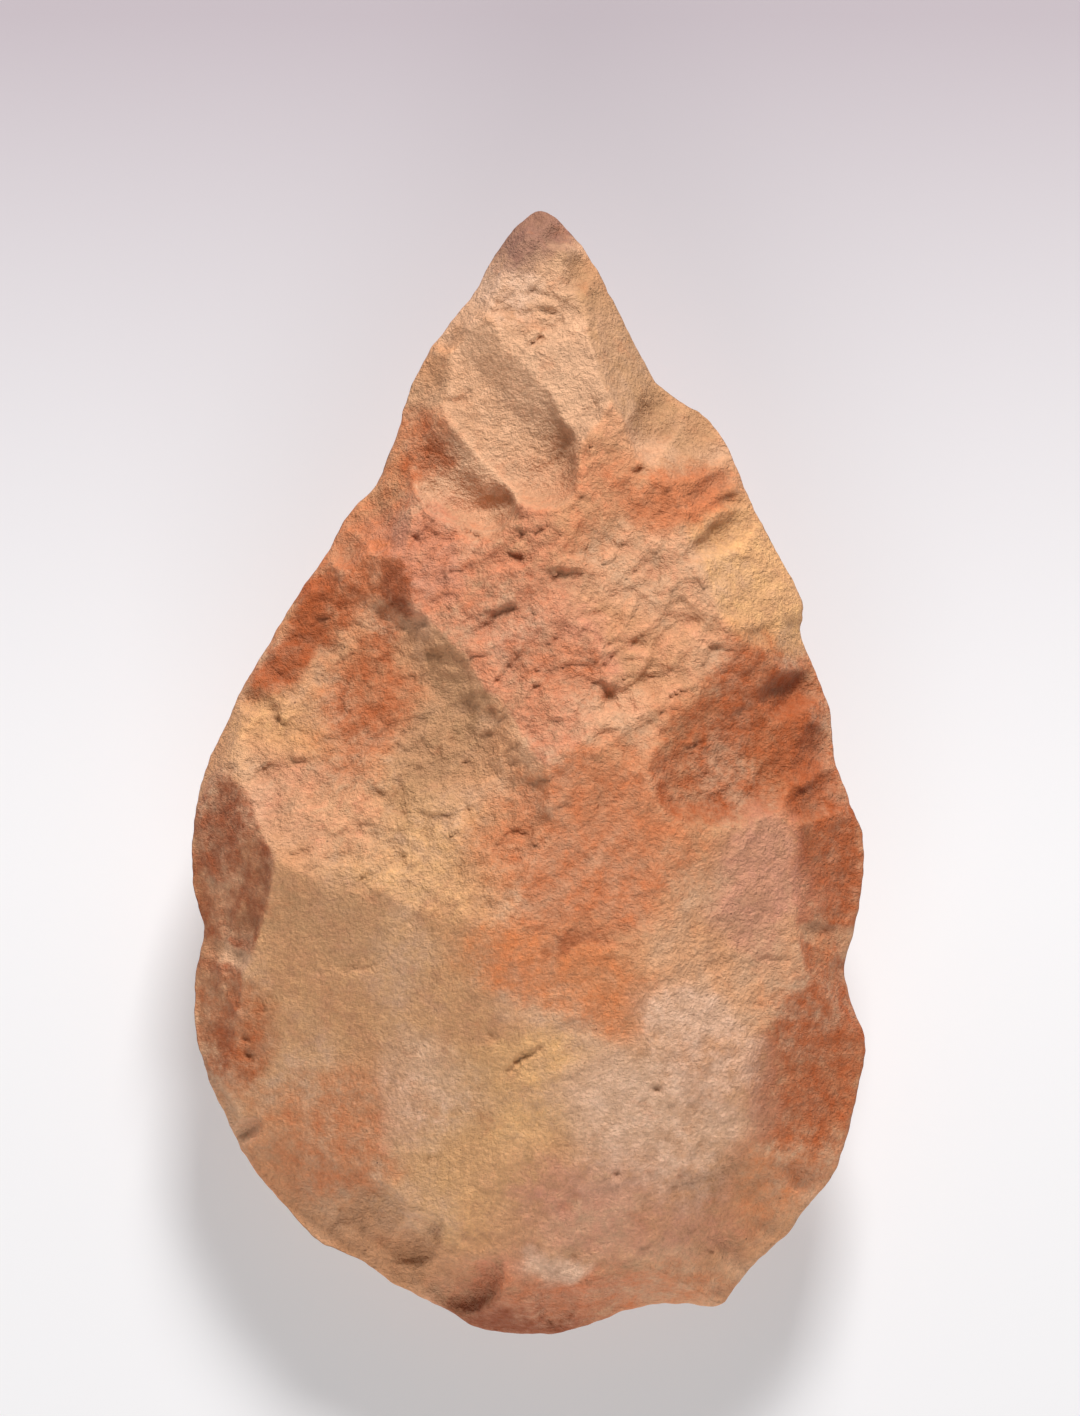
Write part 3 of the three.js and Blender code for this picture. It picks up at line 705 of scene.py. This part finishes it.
class Board:
    """A node tree that nodes are added to."""

    def __init__(self, tree):
        self.tree = tree

    def add(self, kind, settings=None, sockets=None, output=0):
        """Adds a node with its settings, and the values or links of its sockets."""
        node = self.tree.nodes.new(kind)
        for name, value in (settings or {}).items():
            setattr(node, name, value)
        for name, value in (sockets or {}).items():
            if isinstance(value, Value):
                self.tree.links.new(value.socket, node.inputs[name])
            else:
                node.inputs[name].default_value = value
        return Value(self, node.outputs[output])

    def mix(self, factor, first, second, blend="MIX"):
        """Mixes two colours."""
        settings = {"data_type": "RGBA", "blend_type": blend, "clamp_factor": True}
        return self.add("ShaderNodeMix", settings, {0: factor, 6: first, 7: second}, output=2)

    def between(self, value, low, high):
        """0 below low and 1 above high, or the other way round when low is higher."""
        return self.add("ShaderNodeMapRange", {"interpolation_type": "SMOOTHSTEP"},
                        {0: value, 1: low, 2: high, 3: 0.0, 4: 1.0})

    def spread(self, value, low, high, new_low, new_high):
        """Stretches low..high over new_low..new_high, and stops there."""
        return self.add("ShaderNodeMapRange", None, {0: value, 1: low, 2: high, 3: new_low, 4: new_high})

    def attribute(self, name):
        return self.add("ShaderNodeAttribute", {"attribute_name": name}, output=2)

    def noise(self, place, size, detail=3.0, roughness=0.5):
        """Noise with hills of that size, in the units of place."""
        return self.add("ShaderNodeTexNoise", {"noise_dimensions": "3D"},
                        {"Vector": place, "Scale": 1 / size, "Detail": detail, "Roughness": roughness})

    def cells(self, place, scale):
        """Distance to the middle of the nearest cell. The cell's own random colour is output 1."""
        return self.add("ShaderNodeTexVoronoi", {"voronoi_dimensions": "3D", "feature": "F1"},
                        {"Vector": place, "Scale": scale})


def weathering_tree():
    """Geometry Nodes that give a stone its grain and pits along the surface's own normals."""
    tree = bpy.data.node_groups.new("stone_weathering", "GeometryNodeTree")
    tree.is_modifier = True
    face = tree.interface
    face.new_socket("Geometry", in_out="INPUT", socket_type="NodeSocketGeometry")
    for name, default in (("Grain Depth", 0.00006), ("Grain Size", 0.0009), ("Pit Depth", 0.0003),
                          ("Pit Spacing", 0.005), ("Pit Share", 0.3)):
        face.new_socket(name, in_out="INPUT", socket_type="NodeSocketFloat").default_value = default
    face.new_socket("Material", in_out="INPUT", socket_type="NodeSocketMaterial")
    face.new_socket("Geometry", in_out="OUTPUT", socket_type="NodeSocketGeometry")
    board = Board(tree)
    entry = tree.nodes.new("NodeGroupInput")
    given = {socket.name: Value(board, socket) for socket in entry.outputs if socket.name}
    place = board.add("GeometryNodeInputPosition")
    normal = board.add("GeometryNodeInputNormal")
    grain = board.noise(place, given["Grain Size"], 2.0, 0.6)
    away = board.cells(place, 1 / given["Pit Spacing"])
    dice = board.add("FunctionNodeSeparateColor", None, {0: away.other(1)})
    chosen = board.add("ShaderNodeMath", {"operation": "LESS_THAN"}, {0: dice, 1: given["Pit Share"]})
    radius = 0.09 + 0.35 * dice
    pit = board.between(away, radius, 0.02) * chosen
    shift = (grain - 0.5) * 2 * given["Grain Depth"] - pit * given["Pit Depth"]
    offset = board.add("ShaderNodeVectorMath", {"operation": "SCALE"}, {0: normal, 3: shift})
    moved = board.add("GeometryNodeSetPosition", None, {"Geometry": given["Geometry"], "Offset": offset})
    real = board.add("GeometryNodeRealizeInstances", None, {"Geometry": moved})
    dressed = board.add("GeometryNodeSetMaterial", None,
                        {"Geometry": real, "Material": given["Material"]})
    leave = tree.nodes.new("NodeGroupOutput")
    tree.links.new(dressed.socket, leave.inputs[0])
    return tree


def set_inputs(modifier, tree, values):
    """Sets a modifier's inputs by their sockets' identifiers."""
    for item in tree.interface.items_tree:
        if item.item_type == "SOCKET" and item.in_out == "INPUT" and item.name in values:
            modifier[item.identifier] = values[item.name]


def baked(piece):
    """Replaces a piece's mesh with what its modifiers make of it, and removes them."""
    graph = bpy.context.evaluated_depsgraph_get()
    mesh = bpy.data.meshes.new_from_object(
        piece.evaluated_get(graph), preserve_all_data_layers=True, depsgraph=graph)
    piece.modifiers.clear()
    old = piece.data
    piece.data = mesh
    bpy.data.meshes.remove(old)
    mesh.name = piece.name
    return mesh


def settle(mesh):
    """Keeps the stone on the floor, and stops the script if it is open or too heavy."""
    places = np.empty(len(mesh.vertices) * 3, np.float32)
    mesh.vertices.foreach_get("co", places)
    places[2::3] = np.maximum(places[2::3], 0)
    mesh.vertices.foreach_set("co", places)
    mesh.update()
    edges = np.empty(len(mesh.loops), np.int32)
    mesh.loops.foreach_get("edge_index", edges)
    triangles = len(mesh.loops) - 2 * len(mesh.polygons)
    if (np.bincount(edges, minlength=len(mesh.edges)) != 2).any():
        raise RuntimeError("the stone's mesh is open")
    if triangles > MOST_TRIANGLES:
        raise RuntimeError(f"the stone has {triangles} triangles, which is too many")


# ---- The stone's finish ----

def srgb(*screen):
    """A colour given as on a screen, from 0 to 255, as the linear one that nodes take."""
    return tuple(v / 255 / 12.92 if v <= 10 else ((v / 255 + 0.055) / 1.055) ** 2.4 for v in screen)


def blank_material(name):
    """A material with no nodes yet, and the board to add them to."""
    material = bpy.data.materials.new(name)
    material.use_nodes = True
    material.node_tree.nodes.clear()
    return material, Board(material.node_tree)


def surface(board, sockets):
    """Ends a material's tree in its shader."""
    shader = board.add("ShaderNodeBsdfPrincipled", None, sockets)
    leave = board.tree.nodes.new("ShaderNodeOutputMaterial")
    board.tree.links.new(shader.socket, leave.inputs["Surface"])


def stone_material(colours):
    """Quartzite under a patina of stains, some of them partly painted shade and highlight, with painted
    shade and highlight from the relief, dark grains, pores and a broken skin.
    """
    material, board = blank_material("patinated_quartzite")
    metres = board.add("ShaderNodeTexCoord", output=3)
    place = board.add("ShaderNodeVectorMath", {"operation": "SCALE"}, {0: metres, 3: 1 / MM})

    # The ground colour, then each stain with its border broken up by noise.
    colour = board.mix(board.between(board.noise(place, 12.0), 0.38, 0.62),
                       (*colours.tan, 1), (*colours.sand, 1))
    mottle = board.noise(place, 2.6, 5.0, 0.7)
    for name in STAIN_ORDER:
        cover = board.attribute(name)
        border = 9 * cover * (1 - cover) * (mottle - 0.5)
        colour = board.mix(cover + border, colour, (*getattr(colours, name), 1))

    # Mottling in the patina, then the fine grain of the stone itself, then painted shade in hollows and
    # painted highlight on ridges from the relief.
    blotch = board.noise(place, 4.2, 4.0, 0.65)
    colour = board.mix(board.between(blotch, 0.55, 0.78) * 0.35, colour, (*colours.rust, 1))
    colour = board.mix(board.between(blotch, 0.45, 0.22) * 0.3, colour, (*colours.sand, 1))
    grain = board.noise(place, 0.5, 2.0, 0.7)
    shade = board.spread(mottle, 0.3, 0.7, 0.86, 1.13) * board.spread(grain, 0.3, 0.7, 0.88, 1.12)
    # Painted shade in hollows and painted highlight on ridges, from how proud the surface stands.
    shade = shade * board.spread(board.attribute("fine_relief"), 0, 1, 0.95, 1.05)
    shade = shade * board.spread(board.attribute("broad_relief"), 0, 1, 0.97, 1.03)

    # Dark minerals and open pores.
    away = board.cells(place, 0.45)
    dice = board.add("ShaderNodeSeparateColor", None, {0: away.other(1)})
    size = board.spread(dice, 0.75, 1, 0, 0.1)
    pore = board.between(away, size, size * 0.4)
    grey = board.add("ShaderNodeCombineColor", None, {0: shade, 1: shade, 2: shade})
    colour = board.mix(1.0, colour, grey, blend="MULTIPLY")
    colour = board.mix(pore * 0.75, colour, (*colours.mineral, 1))

    # A broken skin: little steps with noise over them.
    bent = board.add("ShaderNodeVectorMath", {"operation": "MULTIPLY_ADD"},
                     {0: grain.other(1), 1: (0.5, 0.5, 0.5), 2: place})
    step = board.add("ShaderNodeSeparateColor", None, {0: board.cells(bent, 0.8).other(1)})
    height = board.noise(place, 0.8, 3.0, 0.75) + step * (0.25 + 0.5 * board.attribute("grain"))
    normal = board.add("ShaderNodeBump", None, {"Height": height, "Distance": colours.bump * MM,
                                                "Strength": 1.0})
    surface(board, {"Base Color": colour, "Roughness": board.spread(mottle, 0.3, 0.7, 0.65, 0.85),
                    "Specular IOR Level": 0.35, "Normal": normal})
    return material


# ---- The stage ----

LIGHTS = {
    # azimuth and elevation in degrees, distance and size in metres
    "key": (82, 40, 1.1, 0.3),
    "fill": (-95, 22, 1.2, 0.7),
}
FLOOR_HALF = 3
# Painted shade on the floor: its colour darkens beyond the tip.
FLOOR_FADE = (-0.017, 0.103)    # where along Y the floor begins and ends to darken
FLOOR_FADE_POWER = 1.55
SENSOR = 36
VIEW_SHIFT = (0.0014, 0.00875)  # from over the stone's middle to the camera


def lamp(name, power, middle):
    """One of the lights, aimed at the middle."""
    azimuth, elevation, distance, size = LIGHTS[name]
    a, e = math.radians(azimuth), math.radians(elevation)
    direction = Vector((math.cos(a) * math.cos(e), math.sin(a) * math.cos(e), math.sin(e)))
    light = bpy.data.lights.new(name, "AREA")
    light.size, light.energy = size, power
    made = bpy.data.objects.new(name, light)
    made.location = middle + direction * distance
    made.rotation_euler = direction.to_track_quat("Z", "Y").to_euler()
    return made


def floor_material(stage):
    """A pale sheet with painted shade that darkens it gently beyond the tip."""
    material, board = blank_material("studio_floor")
    place = board.add("ShaderNodeTexCoord", output=3)
    along = board.add("ShaderNodeSeparateXYZ", None, {0: place}, output=1)
    # Painted shade: the floor's colour darkens towards the far floor beyond the tip.
    share = board.spread(along, *FLOOR_FADE, 0, 1) ** FLOOR_FADE_POWER
    colour = board.mix(share, (*stage.floor, 1), (*stage.far_floor_shade, 1))
    surface(board, {"Base Color": colour, "Roughness": 0.9, "Specular IOR Level": 0.1,
                    "Emission Color": colour, "Emission Strength": stage.glow})
    return material


# ---- The add-on ----

def amount(name, text, default):
    return FloatProperty(name=name, description=text, default=default, min=0)


def colour(name, text, *value):
    return FloatVectorProperty(name=name, description=text, subtype="COLOR", size=3, min=0, max=1,
                               default=srgb(*value))


class HANDAXE_PG_shape(bpy.types.PropertyGroup):
    edge_step: amount("Edge step", "Spacing of the vertices along the edge, in mm", 0.42)
    face_step: amount("Face step", "Spacing of the vertices on the worked face, in mm", 0.45)
    back_step: amount("Back step", "Spacing of the vertices on the back, in mm", 0.68)
    ridge_wander: amount("Ridge wander", "How far the ridges stray from a clean line, in mm", 0.8)
    roughness: amount("Roughness", "Strength of the broken surface inside the scars", 1.0)
    seed: IntProperty(name="Seed", description="Chooses the random details", default=3)


class HANDAXE_PG_colours(bpy.types.PropertyGroup):
    tan: colour("Tan", "The stone's main colour", 212, 152, 108)
    # Sand also serves as a painted highlight above the dark bulb at the left edge.
    sand: colour("Sand", "Its pale parts", 222, 172, 134)
    ochre: colour("Ochre", "Yellow patina", 226, 172, 116)
    # Olive also serves as painted shade on the tip's right plane.
    olive: colour("Olive", "Greenish grey patina", 184, 138, 98)
    pink: colour("Pink", "Salmon patina", 214, 142, 112)
    rust: colour("Rust", "Iron stain", 200, 118, 74)
    orange: colour("Orange", "Bright iron stain", 214, 128, 76)
    # Deep rust also serves as painted shade on faces turned away from the light.
    deep_rust: colour("Deep rust", "Strong iron stain", 172, 86, 42)
    # Red brown also serves as painted shade on faces turned away from the light.
    red_brown: colour("Red brown", "Darkest stain", 142, 72, 40)
    lilac: colour("Lilac", "Greyish pink haze", 204, 142, 114)
    ash: colour("Ash", "Pale grey haze", 224, 182, 152)
    mauve: colour("Mauve", "Brown of the very tip", 146, 102, 84)
    mineral: colour("Mineral", "Dark grains and pores", 84, 44, 28)
    bump: amount("Bump", "Depth of the stone's grain in the finish, in mm", 0.7)


class HANDAXE_PG_stage(bpy.types.PropertyGroup):
    camera_height: FloatProperty(name="Camera height", description="Over the floor", default=1.2,
                                 unit="LENGTH")
    view_height: FloatProperty(name="View height", description="Height of the view at the edge",
                               default=0.1891, unit="LENGTH")
    key: FloatProperty(name="Key light", description="Power of the light beyond the tip", default=14.5)
    fill: FloatProperty(name="Fill light", description="Power of the light beyond the butt", default=8)
    glow: FloatProperty(name="Floor glow", description="How much the floor shines by itself",
                        default=0.5)
    ambient: FloatProperty(name="Ambient", description="Strength of the light from all round",
                           default=0.14)
    floor: colour("Floor", "Pale floor", 203, 202, 203)
    # Painted shade of the floor beyond the tip.
    far_floor_shade: colour("Far floor", "The floor beyond the tip", 160, 151, 156)


class HANDAXE_OT_stone(bpy.types.Operator):
    """Build the flaked stone and its patina"""
    bl_idname = "handaxe.stone"
    bl_label = "Stone"

    def execute(self, context):
        scene = context.scene
        piece = bpy.data.objects.new("hand_axe_stone", stone_mesh(scene.handaxe_shape))
        scene.collection.objects.link(piece)
        material = stone_material(scene.handaxe_colours)
        tree = weathering_tree()
        modifier = piece.modifiers.new("Weathering", "NODES")
        modifier.node_group = tree
        set_inputs(modifier, tree, {"Material": material})
        settle(baked(piece))
        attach(piece, "root")
        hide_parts("hand_axe")
        return {"FINISHED"}


class HANDAXE_OT_stage(bpy.types.Operator):
    """Set up the floor, the lights and the camera"""
    bl_idname = "handaxe.stage"
    bl_label = "Stage"

    def execute(self, context):
        scene = context.scene
        stage = scene.handaxe_stage
        floor_mesh = bpy.data.meshes.new("floor")
        corners = [(x * FLOOR_HALF, y * FLOOR_HALF, 0) for x, y in ((-1, -1), (1, -1), (1, 1), (-1, 1))]
        floor_mesh.from_pydata(corners, [], [(0, 1, 2, 3)])
        floor = bpy.data.objects.new("floor", floor_mesh)
        scene.collection.objects.link(floor)
        floor_mesh.materials.append(floor_material(stage))

        middle = Vector(((CAD_LOW[0] + CAD_HIGH[0]) / 2, (CAD_LOW[1] + CAD_HIGH[1]) / 2, 0))
        for name in LIGHTS:
            scene.collection.objects.link(lamp(name, getattr(stage, name), middle))
        world = bpy.data.worlds.new("studio")
        world.use_nodes = True
        light = world.node_tree.nodes["Background"].inputs
        light["Color"].default_value = (1, 0.98, 1, 1)
        light["Strength"].default_value = stage.ambient
        scene.world = world
        scene.view_settings.view_transform = "Standard"

        optics = bpy.data.cameras.new("camera")
        optics.sensor_fit = "VERTICAL"
        optics.sensor_height = SENSOR
        optics.lens = SENSOR * (stage.camera_height - EDGE_LEVEL * MM) / stage.view_height
        camera = bpy.data.objects.new("camera", optics)
        camera.location = middle + Vector((*VIEW_SHIFT, stage.camera_height))
        scene.collection.objects.link(camera)
        scene.camera = camera
        return {"FINISHED"}


class HANDAXE_PT_panel(bpy.types.Panel):
    bl_label = "Hand Axe"
    bl_idname = "HANDAXE_PT_panel"
    bl_space_type = "VIEW_3D"
    bl_region_type = "UI"
    bl_category = "Hand Axe"

    def draw(self, context):
        for operator in (HANDAXE_OT_stone, HANDAXE_OT_stage):
            self.layout.operator(operator.bl_idname)
        for group in ("handaxe_shape", "handaxe_colours", "handaxe_stage"):
            box = self.layout.box()
            settings = getattr(context.scene, group)
            for name in settings.__annotations__:
                box.prop(settings, name)


CLASSES = (HANDAXE_PG_shape, HANDAXE_PG_colours, HANDAXE_PG_stage, HANDAXE_OT_stone, HANDAXE_OT_stage,
           HANDAXE_PT_panel)


def register():
    for cls in CLASSES:
        bpy.utils.register_class(cls)
    bpy.types.Scene.handaxe_shape = PointerProperty(type=HANDAXE_PG_shape)
    bpy.types.Scene.handaxe_colours = PointerProperty(type=HANDAXE_PG_colours)
    bpy.types.Scene.handaxe_stage = PointerProperty(type=HANDAXE_PG_stage)


def unregister():
    del bpy.types.Scene.handaxe_shape, bpy.types.Scene.handaxe_colours, bpy.types.Scene.handaxe_stage
    for cls in reversed(CLASSES):
        bpy.utils.unregister_class(cls)


def main():
    register()
    bpy.ops.handaxe.stone()
    bpy.ops.handaxe.stage()


if __name__ == "__main__":
    main()
